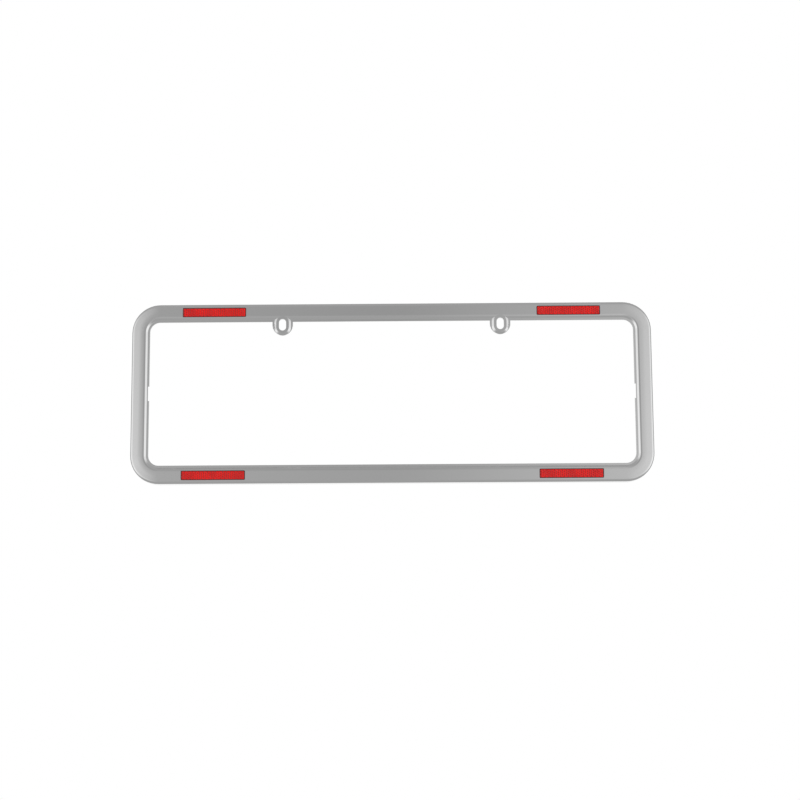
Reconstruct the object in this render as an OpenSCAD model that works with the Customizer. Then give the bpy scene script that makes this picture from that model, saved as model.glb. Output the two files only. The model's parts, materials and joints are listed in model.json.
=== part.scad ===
// Number plate holder: a moulded surround for a 440 x 140 mm plate.
// A hollow section is swept round a rounded rectangle. Its face rises from the outer edge to a crest
// and steps down to a thin lip that holds the plate's edge from in front. Two slotted ears with
// raised collars take the plate's screws, and four reflectors lie in pockets in the face.
// The holder stands upright: X runs to the right, Z up, and the front looks along -Y.
// The sections below are drawn flat, as [inwards from the outer edge as -x, up from the back rim].

/* [Plate] */
// Width of the number plate
plate_w = 440; // [400:5:520]
// Height of the number plate
plate_h = 140; // [120:5:180]
// Free play between the plate's edge and the ribs that locate it
plate_play = 0.5; // [0.3:0.1:1]
// How far the lip covers the plate's edge
lip_cover = 6.5; // [6:0.1:8]
// Distance between the plate's two screws
screw_spacing = 192.4; // [150:0.1:220]
// How far the screws lie below the plate's top edge
screw_drop = 9.4; // [8:0.1:11]

/* [Surround] */
// How far the surround reaches beyond the plate's edge
rim_w = 10; // [9.5:0.1:12]
// Corner radius of the surround, outside
frame_r = 25.5; // [22:0.5:32]
// Depth from the back rim to the crest of the face
face_depth = 11; // [10:0.1:14]
// Wall thickness of the moulding
wall = 2; // [1.6:0.1:2.4]
// Draft of the outer skirt, in degrees
skirt_draft = 3; // [1:0.5:4]
// Radius where the skirt rolls over into the face
roll_r = 3; // [2.6:0.1:3.4]

/* [Face and lip] */
// Width of the crowned face, from the outer edge to the step
face_w = 13; // [12.9:0.1:14]
// How steeply the face rises from the outer edge, in degrees
face_lean = 6; // [4:0.5:7]
// Distance from the outer edge to the middle of the crown, where the face turns level
crown_in = 8.8; // [8.4:0.1:9]
// Radius of the crown
crown_r = 45; // [20:1:48]
// Distance from the outer edge to the crest, where the margin starts
crest_in = 11.6; // [11.4:0.1:11.8]
// How steeply the margin falls from the crest to the step, in degrees
margin_lean = 5; // [3:0.5:8]
// Radius of the crest
crest_r = 4; // [2.5:0.5:5]
// Height of the step from the crest down to the lip
step_h = 1.5; // [1.3:0.1:2.5]
// How far the step slopes inwards
step_run = 1.5; // [1:0.1:1.8]
// Radius at the top of the step
edge_r = 0.6; // [0.3:0.1:0.8]
// Radius at the foot of the step
cove_r = 0.6; // [0.3:0.1:0.8]
// Thickness of the lip
lip_t = 1.8; // [1.5:0.1:2.5]
// Radius of the lip's front edge
lip_r = 0.3; // [0.2:0.1:0.8]
// Length of the relief at mid-height of each side
notch_l = 12.8; // [8:0.1:20]
// How far that relief is cut back into the lip
notch_cut = 1.1; // [0.5:0.1:1.5]

/* [Ears] */
// Width of an ear
ear_w = 18.2; // [17:0.1:20]
// Width of the screw slot
slot_w = 6.4; // [6:0.1:7]
// Length of the screw slot
slot_l = 10.3; // [9:0.1:12]
// Wall of the collar round the slot, at its top
collar_wall = 2.4; // [2:0.1:2.8]
// How far the collar's flank slopes outwards, down to the ear
collar_flank = 1.8; // [1.2:0.1:2.2]
// How far the collar stands proud of the face
collar_proud = 0.2; // [0.1:0.1:0.6]
// Radius on the collar's outer top edge
collar_r = 0.3; // [0.2:0.1:0.8]

/* [Reflectors] */
// Length of a reflector
reflector_l = 56; // [40:1:70]
// Width of a reflector
reflector_w = 8.2; // [7:0.1:8.8]
// Thickness of a reflector over its prism field
reflector_t = 1; // [0.8:0.1:1.4]
// Corner radius of a reflector
reflector_r = 0.8; // [0.3:0.1:1.5]
// Width of the low border round the prism field
reflector_border = 0.5; // [0.3:0.1:1]
// Height of the prism field above that border
reflector_field = 0.3; // [0.1:0.1:0.5]
// Distance from the side of the surround to a reflector's outer end
reflector_end = 45.4; // [40:0.1:60]
// Strip of face left between a reflector and the step
reflector_edge = 1.1; // [1:0.1:1.5]
// Depth of the pocket below the crest
pocket_d = 1.6; // [1.3:0.1:2]
// Gap round a reflector in its pocket
pocket_gap = 0.15; // [0.1:0.05:0.3]
// Thickness of the pad behind a pocket
pocket_pad = 1.5; // [1:0.1:1.8]

/* [Ribs] */
// Distance between ribs, to the nearest even share of a side
rib_pitch = 55; // [40:1:80]
// Thickness of a rib
rib_t = 1.5; // [1:0.1:2]
// How far a rib stays short of the back rim
rib_back = 0.8; // [0.5:0.1:2]
// How far ribs and pads run into the walls that carry them
embed = 0.6; // [0.4:0.1:0.8]

/* [Hidden] */
$fn = 96;
over = 1; // how far a cutting shape runs past the face it cuts
crossing = 0.001; // how far a rounding arc reaches past the lines it joins, so that they cross cleanly

frame_w = plate_w + 2 * rim_w;
frame_h = plate_h + 2 * rim_w;
bar_w = rim_w + lip_cover;
lip_front = face_depth - step_h;
lip_back = lip_front - lip_t;
full_depth = face_depth + collar_proud;
slot_x = screw_spacing / 2;
slot_y = plate_h / 2 - screw_drop;
reflector_x = frame_w / 2 - reflector_end - reflector_l / 2;
reflector_y = frame_h / 2 - face_w + reflector_edge + reflector_w / 2;
pocket_z = face_depth - pocket_d;

// Corners of the front outline, with the radius at each
skirt_foot = [0, 0];
crown = [-crown_in, face_depth];
crest = [-crest_in, face_depth];
shoulder = meet(skirt_foot, [-sin(skirt_draft), cos(skirt_draft)], crown, [cos(face_lean), -sin(face_lean)]);
step_top = [-face_w, face_depth - (face_w - crest_in) * tan(margin_lean)];
step_foot = [-face_w - step_run, lip_front];
front_outline = [[-bar_w, 0], skirt_foot, shoulder, crown, crest, step_top, step_foot, [-bar_w, lip_front]];
front_radii = [0, 0, roll_r, crown_r, crest_r, edge_r, cove_r, lip_r];

// Corners of the hollow behind it, one wall inside the front outline
hollow_shoulder = inside_corner(skirt_foot, shoulder, crown, wall);
hollow_crown = inside_corner(shoulder, crown, crest, wall);
hollow_crest = inside_corner(crown, crest, step_top, wall);
hollow_step = inside_corner(crest, step_top, step_foot, wall);
hollow_seat = meet(hollow_step, step_foot - step_top, [0, lip_back], [1, 0]);
hollow_mouth = meet(hollow_shoulder, shoulder - skirt_foot, [0, -over], [1, 0]);
hollow_outline = [[-bar_w - over, -over], hollow_mouth, hollow_shoulder, hollow_crown, hollow_crest,
                  hollow_step, hollow_seat, [-bar_w - over, lip_back]];
hollow_radii = [0, 0, roll_r - wall, crown_r - wall, crest_r - wall, 0, 0, 0];

function unit(v) = v / norm(v);
function cross2(a, b) = a[0] * b[1] - a[1] * b[0];

// Where the line through p along d crosses the line through q along e
function meet(p, d, q, e) = p + d * cross2(q - p, e) / cross2(d, e);

// The corner of a-b-c after both lines move inwards by t, for an outline drawn anticlockwise
function inward(a, b) = [-unit(b - a)[1], unit(b - a)[0]];
function inside_corner(a, b, c, t) = meet(b + inward(a, b) * t, b - a, b + inward(b, c) * t, c - b);

// A rounded corner: the two points where its arc starts and ends, its centre and its turn
function corner(a, b, c, r) =
    let (back = unit(a - b), ahead = unit(c - b))
    let (half = acos(back * ahead) / 2)
    [b + back * r / tan(half), b + ahead * r / tan(half),
     b + unit(back + ahead) * r / sin(half), cross2(b - a, c - b)];

// What lies between the tip of a corner and the arc from p to q that rounds it
module corner_waste(p, q, tip, centre, r) {
    difference() {
        polygon([p, q, 2 * tip - (p + q) / 2]);
        translate(centre) circle(r + crossing);
    }
}

// An anticlockwise outline with a radius at each of its corners
module rounded(points, radii) {
    last = len(points) - 1;
    corners = [for (i = [0 : last])
        corner(points[i == 0 ? last : i - 1], points[i], points[i == last ? 0 : i + 1], radii[i])];
    difference() {
        union() {
            polygon(points);
            for (i = [0 : last]) if (radii[i] > 0 && corners[i][3] < 0)
                corner_waste(corners[i][0], corners[i][1], points[i], corners[i][2], radii[i]);
        }
        for (i = [0 : last]) if (radii[i] > 0 && corners[i][3] > 0)
            corner_waste(corners[i][0], corners[i][1], points[i], corners[i][2], radii[i]);
    }
}

// A rectangle about the origin with rounded corners
module rounded_rectangle(l, w, r) {
    rounded([[-l / 2, -w / 2], [l / 2, -w / 2], [l / 2, w / 2], [-l / 2, w / 2]], [r, r, r, r]);
}

// A straight run of a section along X, centred, with the section's outer edge at y = 0
module run(l) {
    translate([-l / 2, 0, 0]) rotate([90, 0, 90]) linear_extrude(l) children();
}

// A section swept round a rectangle w by h with corner radius r
module ring(w, h, r) {
    for (turn = [0, 180]) rotate(turn) {
        translate([0, h / 2, 0]) run(w - 2 * r) children();
        rotate(90) translate([0, w / 2, 0]) run(h - 2 * r) children();
        translate([w / 2 - r, h / 2 - r, 0]) rotate_extrude(angle = 90) translate([r, 0]) children();
        translate([r - w / 2, h / 2 - r, 0]) rotate(90) rotate_extrude(angle = 90) translate([r, 0]) children();
    }
}

module moulding_section() {
    difference() {
        rounded(front_outline, front_radii);
        rounded(hollow_outline, hollow_radii);
    }
}

// Ribs across the hollow: their inner ends locate the plate's edge
module rib_section() {
    polygon([[embed - wall, rib_back], [embed - wall, face_depth - wall - embed],
             [-roll_r, face_depth - wall + embed], [plate_play - rim_w, face_depth - wall + embed],
             [plate_play - rim_w, rib_back]]);
}

module ribs_along(side_l, offset) {
    count = round(side_l / rib_pitch);
    pitch = side_l / count;
    for (i = [0 : count - 1]) translate([(i - (count - 1) / 2) * pitch, offset, 0]) run(rib_t) rib_section();
}

module ribs() {
    for (turn = [0, 180]) rotate(turn) {
        ribs_along(frame_w - 2 * frame_r, frame_h / 2);
        rotate(90) ribs_along(frame_h - 2 * frame_r, frame_w / 2);
    }
}

// Carries its children to each reflector's place
module at_reflectors() {
    for (sx = [-1, 1], sy = [-1, 1]) translate([sx * reflector_x, sy * reflector_y, 0]) children();
}

// The floor of each pocket is backed by a pad, so the moulding keeps its wall there
module pocket_pads() {
    pad_low = pocket_z - pocket_pad;
    pad_high = face_depth - wall + embed;
    for (sx = [-1, 1], turn = [0, 180])
        rotate(turn) translate([sx * reflector_x, frame_h / 2, 0])
            run(reflector_l + 2 * (pocket_gap + wall))
                polygon([[-face_w, pad_low], [embed - wall, pad_low], [-roll_r, pad_high], [-face_w, pad_high]]);
}

module pockets() {
    at_reflectors() translate([0, 0, pocket_z]) linear_extrude(pocket_d + over)
        rounded_rectangle(reflector_l + 2 * pocket_gap, reflector_w + 2 * pocket_gap, reflector_r + pocket_gap);
}

// Half of an ear's section, from its middle to its rounded edge
module ear_half_section() {
    rounded([[0, lip_back], [ear_w / 2, lip_back], [ear_w / 2, lip_front], [0, lip_front]], [0, 0, lip_r, 0]);
}

// An ear hangs from the lip and ends in a half round about the slot
module ear() {
    rise = frame_h / 2 - slot_y - face_w - step_run + embed;
    rotate_extrude() ear_half_section();
    for (side = [0, 1]) mirror([side, 0, 0])
        translate([0, rise, 0]) rotate([90, 0, 0]) linear_extrude(rise) ear_half_section();
}

// An oval of the given width about the slot's middle, swept with a section that hangs inwards from it
module oval_sweep(w) {
    straight = slot_l - slot_w;
    for (turn = [0, 180]) rotate(turn) {
        translate([0, straight / 2, 0]) rotate_extrude(angle = 180) translate([w / 2, 0]) children();
        rotate(90) translate([0, w / 2, 0]) run(straight) children();
    }
}

module collar() {
    foot_w = collar_wall + collar_flank;
    oval_sweep(slot_w + 2 * foot_w)
        rounded([[-foot_w, lip_back], [0, lip_back], [0, lip_front],
                 [-collar_flank, full_depth], [-foot_w, full_depth]],
                [0, 0, 0, collar_r, 0]);
}

module slot() {
    straight = slot_l - slot_w;
    translate([0, 0, -over]) linear_extrude(full_depth + 2 * over) {
        for (end = [-1, 1]) translate([0, end * straight / 2]) circle(d = slot_w);
        square([slot_w, straight], center = true);
    }
}

module side_reliefs() {
    cut_l = notch_cut + over;
    for (side = [-1, 1])
        translate([side * (frame_w / 2 - bar_w + notch_cut - cut_l / 2), 0, lip_back + lip_t / 2])
            cube([cut_l, notch_l, lip_t + 2 * over], center = true);
}

// Stands the flat drawing upright, with its box centred on the origin
module upright() {
    translate([0, full_depth / 2, 0]) rotate([90, 0, 0]) children();
}

module frame() {
    color([0.72, 0.73, 0.74]) upright() difference() {
        union() {
            ring(frame_w, frame_h, frame_r) moulding_section();
            ribs();
            pocket_pads();
            for (side = [-1, 1]) translate([side * slot_x, slot_y, 0]) {
                ear();
                collar();
            }
        }
        for (side = [-1, 1]) translate([side * slot_x, slot_y, 0]) slot();
        pockets();
        side_reliefs();
    }
}

// A reflector: a thin plate with a raised prism field inside a low border
module reflector(sx, sy) {
    field_inset = 2 * reflector_border;
    color([0.8, 0.1, 0.08]) upright() translate([sx * reflector_x, sy * reflector_y, pocket_z]) {
        linear_extrude(reflector_t - reflector_field) rounded_rectangle(reflector_l, reflector_w, reflector_r);
        linear_extrude(reflector_t)
            rounded_rectangle(reflector_l - field_inset, reflector_w - field_inset, reflector_r);
    }
}

module reflector_top_left() reflector(-1, 1);
module reflector_top_right() reflector(1, 1);
module reflector_bottom_left() reflector(-1, -1);
module reflector_bottom_right() reflector(1, -1);

frame();
reflector_top_left();
reflector_top_right();
reflector_bottom_left();
reflector_bottom_right();
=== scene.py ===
import json
import math

import bmesh
import bpy
from mathutils import Matrix, Vector
from mathutils.bvhtree import BVHTree

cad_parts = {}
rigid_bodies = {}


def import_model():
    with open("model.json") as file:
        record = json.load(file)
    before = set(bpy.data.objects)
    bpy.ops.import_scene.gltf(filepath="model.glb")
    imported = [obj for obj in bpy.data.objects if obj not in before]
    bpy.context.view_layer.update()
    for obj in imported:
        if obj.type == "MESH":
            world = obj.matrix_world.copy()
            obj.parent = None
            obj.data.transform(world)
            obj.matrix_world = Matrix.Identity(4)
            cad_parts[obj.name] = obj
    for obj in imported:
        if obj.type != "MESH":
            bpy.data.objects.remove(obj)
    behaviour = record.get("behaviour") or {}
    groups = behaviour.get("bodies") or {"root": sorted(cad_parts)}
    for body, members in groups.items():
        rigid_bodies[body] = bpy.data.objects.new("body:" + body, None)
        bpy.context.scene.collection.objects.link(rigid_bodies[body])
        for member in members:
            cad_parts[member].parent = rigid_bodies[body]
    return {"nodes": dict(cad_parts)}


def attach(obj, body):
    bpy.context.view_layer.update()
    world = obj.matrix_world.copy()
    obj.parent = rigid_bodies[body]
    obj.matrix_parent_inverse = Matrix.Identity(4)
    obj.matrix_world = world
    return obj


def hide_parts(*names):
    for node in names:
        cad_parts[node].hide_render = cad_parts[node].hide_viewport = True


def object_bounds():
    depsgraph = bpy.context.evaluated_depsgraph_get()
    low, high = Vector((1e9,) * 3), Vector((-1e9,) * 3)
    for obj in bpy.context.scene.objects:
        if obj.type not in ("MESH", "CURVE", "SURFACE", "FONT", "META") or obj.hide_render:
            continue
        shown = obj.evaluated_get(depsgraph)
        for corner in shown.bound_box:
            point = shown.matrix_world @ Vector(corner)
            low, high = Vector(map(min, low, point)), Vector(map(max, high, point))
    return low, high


mm = 0.001

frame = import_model()
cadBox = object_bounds()
scene = bpy.context.scene


# Small helpers for node trees

class Sock:
    # One output socket; sums and products of these add Math nodes
    def __init__(self, shader, socket):
        self.shader, self.socket = shader, socket

    def math(self, operation, *values):
        return self.shader.add("ShaderNodeMath", {"operation": operation}, *values)

    def __add__(self, other): return self.math("ADD", self, other)
    def __radd__(self, other): return self.math("ADD", other, self)
    def __sub__(self, other): return self.math("SUBTRACT", self, other)
    def __rsub__(self, other): return self.math("SUBTRACT", other, self)
    def __mul__(self, other): return self.math("MULTIPLY", self, other)
    def __rmul__(self, other): return self.math("MULTIPLY", other, self)
    def __abs__(self): return self.math("ABSOLUTE", self)

    def ramp(self, low, high, toLow=0.0, toHigh=1.0):
        # Smooth step between two values, then scaled
        return self.shader.add("ShaderNodeMapRange", {"interpolation_type": "SMOOTHSTEP"},
                               self, low, high, toLow, toHigh)


class Shader:
    # A material's or the world's node tree
    def __init__(self, owner):
        owner.use_nodes = True
        self.tree = owner.node_tree
        self.tree.nodes.clear()

    def add(self, kind, settings=None, *values, out=0, **named):
        node = self.tree.nodes.new(kind)
        for key, value in (settings or {}).items():
            if key == "stops":
                self.setStops(node.color_ramp, value)
            else:
                setattr(node, key, value)
        for index, value in enumerate(values):
            self.feed(node.inputs[index], value)
        for name, value in named.items():
            self.feed(node.inputs[name.replace("_", " ")], value)
        return Sock(self, node.outputs[out])

    def noise(self, place, scale, detail):
        return self.add("ShaderNodeTexNoise", {"noise_dimensions": "3D"},
                        Vector=place, Scale=scale, Detail=detail)

    def blend(self, factor, colourA, colourB):
        # Mix node for colours: sockets 6 and 7 are its colour inputs, output 2 its colour result
        return self.add("ShaderNodeMix", {"data_type": "RGBA"}, factor, None, None, None, None, None,
                        colourA, colourB, out=2)

    def setStops(self, colorRamp, stops):
        while len(colorRamp.elements) < len(stops):
            colorRamp.elements.new(0.5)
        for element, (place, colour) in zip(colorRamp.elements, stops):
            element.position = place
            element.color = (*colour, 1.0)

    def feed(self, socket, value):
        if isinstance(value, Sock):
            self.tree.links.new(value.socket, socket)
        elif value is not None:
            if socket.type == "RGBA" and len(value) == 3:
                value = (*value, 1.0)
            socket.default_value = value

    def output(self, surface, kind="ShaderNodeOutputMaterial"):
        self.tree.links.new(surface.socket, self.tree.nodes.new(kind).inputs["Surface"])


def parts(shader, vector):
    # The three components of a vector
    node = shader.tree.nodes.new("ShaderNodeSeparateXYZ")
    shader.feed(node.inputs[0], vector)
    return [Sock(shader, node.outputs[i]) for i in range(3)]


# Chrome plating: bright in front, duller inside the hollow

chromeLook = {
    "colour": (0.80, 0.80, 0.80),
    "roughness": 0.09,
    "roughnessSpread": 0.04,
    "cloudScale": 60.0,
    "wave": 45 * mm,  # length and height of the moulding's slow waviness
    "waveHeight": 0.02 * mm,
    "backColour": (0.58, 0.58, 0.58),
    "backRoughness": 0.34,
    "backWaviness": 2.0,  # times that of the front
    "sharpAngle": 32.0,  # degrees, from which an edge stays sharp
}


def makeChrome(name, colour, roughness, wavy):
    material = bpy.data.materials.new(name)
    s = Shader(material)
    place = s.add("ShaderNodeTexCoord", out=3)
    clouds = s.noise(place, chromeLook["cloudScale"], 3.0)
    swell = s.noise(place, 1 / chromeLook["wave"], 1.0)
    bump = s.add("ShaderNodeBump", {}, Strength=1.0, Distance=chromeLook["waveHeight"] * wavy, Height=swell)
    surface = s.add("ShaderNodeBsdfPrincipled", {}, Base_Color=colour, Metallic=1.0,
                    Roughness=roughness + (clouds - 0.5) * chromeLook["roughnessSpread"], Normal=bump)
    s.output(surface)
    return material


def makeSurround():
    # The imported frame, welded so that its curved faces shade as one
    look = chromeLook
    mesh = frame["nodes"]["frame"].data.copy()
    mesh.materials.clear()
    mesh.materials.append(makeChrome("brightChrome", look["colour"], look["roughness"], 1.0))
    mesh.materials.append(makeChrome("dullChrome", look["backColour"], look["backRoughness"],
                                     look["backWaviness"]))
    for name in ("custom_normal", "sharp_edge", "sharp_face"):
        if name in mesh.attributes:
            mesh.attributes.remove(mesh.attributes[name])
    bm = bmesh.new()
    bm.from_mesh(mesh)
    bmesh.ops.remove_doubles(bm, verts=bm.verts, dist=0.001 * mm)
    bm.normal_update()
    shell = BVHTree.FromBMesh(bm)
    sharpAngle = math.radians(look["sharpAngle"])
    for edge in bm.edges:
        edge.smooth = len(edge.link_faces) == 2 and edge.calc_face_angle(0) < sharpAngle
    toFront, clearance, reach = Vector((0, -1, 0)), 0.02 * mm, 100 * mm
    for face in bm.faces:
        face.smooth = True
        # Dull where the moulding covers a face from the front, and where a face looks straight back
        start = face.calc_center_median() + face.normal * clearance
        covered = shell.ray_cast(start, toFront, reach)[0] is not None
        looksBack = face.normal.y > 0.9
        face.material_index = int(covered or looksBack)
    bm.to_mesh(mesh)
    bm.free()
    surround = bpy.data.objects.new("surround", mesh)
    scene.collection.objects.link(surround)
    weighted = surround.modifiers.new("evenShading", "WEIGHTED_NORMAL")
    weighted.mode = "FACE_AREA"
    weighted.keep_sharp = True
    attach(surround, "root")
    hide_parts("frame")


makeSurround()
print("surround made")


# Reflectors: a low border round a field of three-sided prisms

lensLook = {
    "length": 56 * mm, "width": 8.2 * mm, "corner": 0.8 * mm,
    "steps": ((0, 0), (0, 0.58), (0.12, 0.7), (0.62, 0.7), (0.7, 0.73)),  # inset and height in mm
    "cellRadius": 1.12 * mm, "cellFoot": 0.69 * mm, "cellLow": 0.74 * mm, "cellPeak": 1.0 * mm,
    "cellFill": 0.985,  # share of its place that a cell takes
    "columns": 32, "rows": 3,
    "bright": (0.72, 0.004, 0.002),
    "shadedSide": (0.35, 0.002, 0.001),  # painted shade: a darker copy of the red, on the side of each prism that looks to the left
    # near-black border and sides: partly the lens's own dark edge, partly painted shadow of the pocket's gap
    "border": (0.10, 0.004, 0.004),
    "darkest": 0.8,  # of each colour, in the clouds of its tint
    "cloudScale": 140.0,
    "roughness": 0.14,
    "roughnessSpread": 0.06,
}


def makeRed(name, colour):
    material = bpy.data.materials.new(name)
    s = Shader(material)
    place = s.add("ShaderNodeTexCoord", out=3)
    clouds = s.noise(place, lensLook["cloudScale"], 2.0)
    darker = tuple(lensLook["darkest"] * c for c in colour)
    tint = s.blend(clouds.ramp(0.3, 0.7), darker, colour)
    acrylic = 1.49  # refractive index
    surface = s.add("ShaderNodeBsdfPrincipled", {}, Base_Color=tint, IOR=acrylic,
                    Roughness=lensLook["roughness"] + clouds * lensLook["roughnessSpread"])
    s.output(surface)
    return material


def outlinePoints(halfX, halfZ, radius, steps=6):
    # A rounded rectangle, anticlockwise as seen from the front
    points = []
    for quarter, (signX, signZ) in enumerate(((1, 1), (-1, 1), (-1, -1), (1, -1))):
        for i in range(steps + 1):
            angle = math.radians(90 * (quarter + i / steps))
            points.append((signX * (halfX - radius) + radius * math.cos(angle),
                           signZ * (halfZ - radius) + radius * math.sin(angle)))
    return points


def stackMesh(name, rings, tip=None):
    # Joins rings of points, each with its own heights, into one closed body; the front looks along -Y
    bm = bmesh.new()
    rows = [[bm.verts.new((x, -height, z)) for x, z, height in ring] for ring in rings]
    count = len(rows[0])
    for low, high in zip(rows, rows[1:]):
        for i in range(count):
            bm.faces.new((low[i], low[(i + 1) % count], high[(i + 1) % count], high[i]))
    bm.faces.new(list(reversed(rows[0])))
    if tip is None:
        bm.faces.new(rows[-1])
    else:
        peak = bm.verts.new((0, -tip, 0))
        for i in range(0, count, 2):
            bm.faces.new((peak, rows[-1][i], rows[-1][i + 1], rows[-1][(i + 2) % count]))
    bmesh.ops.recalc_face_normals(bm, faces=bm.faces)
    mesh = bpy.data.meshes.new(name)
    bm.to_mesh(mesh)
    bm.free()
    return mesh


def lensBody():
    look = lensLook
    rings = []
    for inset, height in look["steps"]:
        points = outlinePoints(look["length"] / 2 - inset * mm, look["width"] / 2 - inset * mm,
                               look["corner"] - inset * mm * 0.5)
        rings.append([(x, z, height * mm) for x, z in points])
    return stackMesh("lensBody", rings)


def prismCell():
    # A cube corner seen along its diagonal: six corners, low and middle by turns, round one peak
    look = lensLook
    middle = (look["cellLow"] + look["cellPeak"]) / 2
    reach = look["cellFill"] * look["cellRadius"]
    angles = [math.radians(60 * i) for i in range(6)]
    corners = [(reach * math.cos(angle), reach * math.sin(angle)) for angle in angles]
    foot = [(x, z, look["cellFoot"]) for x, z in corners]
    brim = [(x, z, (middle, look["cellLow"])[i % 2]) for i, (x, z) in enumerate(corners)]
    return stackMesh("prismCell", [foot, brim], look["cellPeak"])


class Tree:
    # A Geometry Nodes tree with named inputs
    def __init__(self, name, inputs):
        self.group = bpy.data.node_groups.new(name, "GeometryNodeTree")
        self.ids = {}
        self.group.interface.new_socket("Geometry", in_out="OUTPUT", socket_type="NodeSocketGeometry")
        for label, kind in inputs:
            socket = self.group.interface.new_socket(label, in_out="INPUT", socket_type="NodeSocket" + kind)
            self.ids[label] = socket.identifier
        self.source = self.group.nodes.new("NodeGroupInput")

    def add(self, kind, settings=None, out=0, **values):
        node = self.group.nodes.new(kind)
        for key, value in (settings or {}).items():
            setattr(node, key, value)
        for key, value in values.items():
            # "at0" names an input by its number, anything else by its name
            socket = node.inputs[int(key[2:]) if key.startswith("at") else key.replace("_", " ")]
            for one in value if isinstance(value, list) else [value]:
                if isinstance(one, bpy.types.NodeSocket):
                    self.group.links.new(one, socket)
                else:
                    socket.default_value = one
        return node.outputs[out]

    def math(self, operation, a, b):
        return self.add("ShaderNodeMath", {"operation": operation}, at0=a, at1=b)

    def end(self, geometry):
        self.group.links.new(geometry, self.group.nodes.new("NodeGroupOutput").inputs[0])


def prismTree():
    # Cells in staggered columns, realised and joined to the body
    tree = Tree("prismField", (("Geometry", "Geometry"), ("Cell", "Object"), ("Columns", "Int"),
                               ("Rows", "Int"), ("Column pitch", "Float"), ("Row pitch", "Float"),
                               ("Border top", "Float"), ("Bright", "Material"), ("Shaded side", "Material"),
                               ("Border", "Material")))
    given = tree.source.outputs
    spanX = tree.math("MULTIPLY", tree.math("SUBTRACT", given["Columns"], 1), given["Column pitch"])
    spanZ = tree.math("MULTIPLY", tree.math("SUBTRACT", given["Rows"], 1), given["Row pitch"])
    grid = tree.add("GeometryNodeMeshGrid", Size_X=spanX, Size_Y=spanZ, Vertices_X=given["Columns"],
                    Vertices_Y=given["Rows"])
    place = tree.add("GeometryNodeInputPosition")
    x = tree.add("ShaderNodeSeparateXYZ", at0=place)
    column = tree.math("ROUND", tree.math("DIVIDE", tree.math("ADD", x, tree.math("DIVIDE", spanX, 2)),
                                          given["Column pitch"]), 0)
    stagger = tree.math("MULTIPLY", tree.math("SUBTRACT", tree.math("MODULO", column, 2), 0.5),
                        tree.math("DIVIDE", given["Row pitch"], 2))
    shifted = tree.add("GeometryNodeSetPosition", Geometry=grid,
                       Offset=tree.add("ShaderNodeCombineXYZ", at1=stagger))
    upright = tree.add("GeometryNodeTransform", Geometry=shifted, Rotation=(math.radians(90), 0, 0))
    cells = tree.add("GeometryNodeInstanceOnPoints", Points=upright,
                     Instance=tree.add("GeometryNodeObjectInfo", out=4, at0=given["Cell"]))
    joined = tree.add("GeometryNodeJoinGeometry",
                      at0=[given["Geometry"], tree.add("GeometryNodeRealizeInstances", Geometry=cells)])
    normal = tree.add("ShaderNodeSeparateXYZ", at0=tree.add("GeometryNodeInputNormal"))
    depth = tree.add("ShaderNodeSeparateXYZ", out=1, at0=place)
    # Painted shade: facets that look to the left get the darker copy of the red
    shadedFacets = tree.math("LESS_THAN", normal, -0.1)
    # Painted shadow: the low border and the sides below the prisms go near-black, as if in the pocket's gap
    low = tree.math("GREATER_THAN", depth, given["Border top"])
    painted = tree.add("GeometryNodeSetMaterial", Geometry=joined, Material=given["Bright"])
    painted = tree.add("GeometryNodeSetMaterial", Geometry=painted, Material=given["Shaded side"], Selection=shadedFacets)
    painted = tree.add("GeometryNodeSetMaterial", Geometry=painted, Material=given["Border"], Selection=low)
    tree.end(painted)
    return tree


def makeLensMesh():
    look = lensLook
    body = bpy.data.objects.new("lensBody", lensBody())
    cell = bpy.data.objects.new("prismCell", prismCell())
    for thing in (body, cell):
        scene.collection.objects.link(thing)
    tree = prismTree()
    modifier = body.modifiers.new("prisms", "NODES")
    modifier.node_group = tree.group
    values = {"Cell": cell, "Columns": look["columns"], "Rows": look["rows"],
              "Column pitch": 1.5 * look["cellRadius"], "Row pitch": math.sqrt(3) * look["cellRadius"],
              "Border top": -0.5 * (look["cellFoot"] + look["cellLow"]) - 0.01 * mm,
              "Bright": makeRed("redBright", look["bright"]), "Shaded side": makeRed("redShadedSide", look["shadedSide"]),
              "Border": makeRed("redBorderShadow", look["border"])}
    for label, value in values.items():
        modifier[tree.ids[label]] = value
    mesh = bpy.data.meshes.new_from_object(body.evaluated_get(bpy.context.evaluated_depsgraph_get()))
    body.modifiers.clear()
    for thing in (body, cell):
        bpy.data.objects.remove(thing)
    return mesh


def makeLenses():
    lensMesh = makeLensMesh()
    for row in ("top", "bottom"):
        for side in ("left", "right"):
            node = frame["nodes"][f"reflector_{row}_{side}"]
            corners = [node.matrix_world @ Vector(corner) for corner in node.bound_box]
            middle = sum(corners, Vector()) / 8
            back = max(corner.y for corner in corners)
            mesh = lensMesh.copy()
            mesh.transform(Matrix.Translation((middle.x, back, middle.z)))
            lens = bpy.data.objects.new(f"{row}{side.capitalize()}Lens", mesh)
            scene.collection.objects.link(lens)
            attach(lens, "root")
            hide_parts(node.name)


makeLenses()
print("reflectors made")


# Camera at the photograph's angle

cameraLook = {
    "target": (0, -0.0013, 0),
    "distance": 1.2995,
    "pitch": -7.66, "yaw": -0.355, "roll": 0.317,  # degrees; from a little below the holder's foot
    "lens": 66.37, "sensor": 36,
    "shift": (0.01035, -0.0092),
    "clip": (0.05, 100),
}


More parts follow.
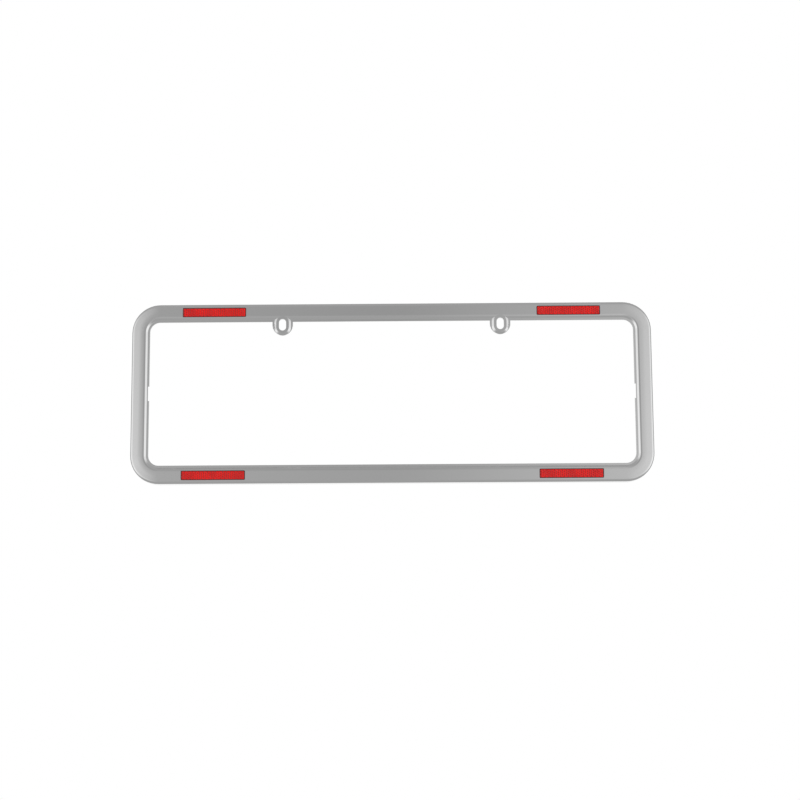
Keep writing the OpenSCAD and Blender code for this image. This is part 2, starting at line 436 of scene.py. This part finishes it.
def makeCamera():
    data = bpy.data.cameras.new("camera")
    data.lens = cameraLook["lens"]
    data.sensor_width = cameraLook["sensor"]
    data.clip_start, data.clip_end = cameraLook["clip"]
    data.shift_x, data.shift_y = cameraLook["shift"]
    camera = bpy.data.objects.new("camera", data)
    scene.collection.objects.link(camera)
    tilt = Matrix.Rotation(math.radians(90), 4, "X")
    for axis, key in (("Y", "yaw"), ("X", "pitch"), ("Z", "roll")):
        tilt = tilt @ Matrix.Rotation(-math.radians(cameraLook[key]), 4, axis)
    camera.matrix_world = Matrix.Translation(cameraLook["target"]) @ tilt \
        @ Matrix.Translation((0, 0, cameraLook["distance"]))
    scene.camera = camera


makeCamera()
print("camera made")


# Surroundings: a room that is grey in front, light at both sides and white behind

roomLook = {
    # Brightness from left to right
    "across": ((-0.9, 1.04), (-0.36, 0.73), (-0.17, 0.47), (0.0, 0.41),
               (0.16, 0.59), (0.38, 0.75), (0.9, 1.04)),
    "upper": 0.88,  # how much of that is left higher up
    "upperFrom": (0.03, 0.22),
    "steep": 0.42,  # far above and far below
    "steepFrom": (0.35, 0.8),
    "beside": 0.40,  # behind the object, outside the white part
    "besideFrom": (-0.08, 0.08),
    "whiteFrom": (0.75, 0.87),
}


def makeWorld():
    world = bpy.data.worlds.new("room")
    scene.world = world
    s = Shader(world)
    x, y, z = parts(s, s.add("ShaderNodeTexCoord", out=0))
    most = max(level for place, level in roomLook["across"])
    stops = [((place + 1) / 2, (level / most,) * 3) for place, level in roomLook["across"]]
    across = s.add("ShaderNodeValToRGB", {"stops": stops}, x * 0.5 + 0.5)
    front = across * most * z.ramp(*roomLook["upperFrom"], 1.0, roomLook["upper"])
    front = front + abs(z).ramp(*roomLook["steepFrom"]) * (roomLook["steep"] - front)
    around = front + y.ramp(*roomLook["besideFrom"]) * (roomLook["beside"] - front)
    light = around + y.ramp(*roomLook["whiteFrom"]) * (1.0 - around)
    surface = s.add("ShaderNodeBackground", {}, Color=(1.0, 1.0, 1.0), Strength=light)
    s.output(surface, "ShaderNodeOutputWorld")


makeWorld()


floorLook = {
    "size": 40.0,
    "colour": (0.74, 0.74, 0.735),
    "farColour": (0.92, 0.92, 0.915),
    "fade": (1.5, 5.0),  # metres from the middle
}


def makeFloor():
    # Seen from above only, because the camera stands a little below the holder's foot
    half, foot = floorLook["size"] / 2, cadBox[0][2]
    corners = [(-half, -half, foot), (half, -half, foot), (half, half, foot), (-half, half, foot)]
    mesh = bpy.data.meshes.new("floor")
    mesh.from_pydata(corners, [], [(0, 1, 2, 3)])
    material = bpy.data.materials.new("floorPaint")
    s = Shader(material)
    place = s.add("ShaderNodeTexCoord", out=3)
    distance = s.add("ShaderNodeVectorMath", {"operation": "LENGTH"}, place, out=1)
    paint = s.add("ShaderNodeBsdfDiffuse", {},
                  s.blend(distance.ramp(*floorLook["fade"]), floorLook["colour"], floorLook["farColour"]))
    clear = s.add("ShaderNodeBsdfTransparent")
    under = s.add("ShaderNodeNewGeometry", out=6)
    s.output(s.add("ShaderNodeMixShader", {}, under, paint, clear))
    mesh.materials.append(material)
    floor = bpy.data.objects.new("floor", mesh)
    scene.collection.objects.link(floor)
    floor.visible_glossy = False


makeFloor()
print("room made")


# Two broad lamps from both sides

lampLook = {
    "leftSun": {"place": (-2.2, -1.8, 1.8), "angle": 55.0, "strength": 1.35},
    "rightSun": {"place": (2.2, -1.8, 1.8), "angle": 55.0, "strength": 1.35},
}


def makeLamp(name, place, angle, strength):
    data = bpy.data.lights.new(name, "SUN")
    data.angle = math.radians(angle)
    data.energy = strength
    lamp = bpy.data.objects.new(name, data)
    scene.collection.objects.link(lamp)
    lamp.visible_glossy = False  # the chrome shows the room, not the lamps
    lamp.location = place
    lamp.rotation_mode = "QUATERNION"
    lamp.rotation_quaternion = (-Vector(place)).to_track_quat("-Z", "Y")


for name, look in lampLook.items():
    makeLamp(name, **look)
print("lights made")

scene.view_settings.view_transform = "Standard"
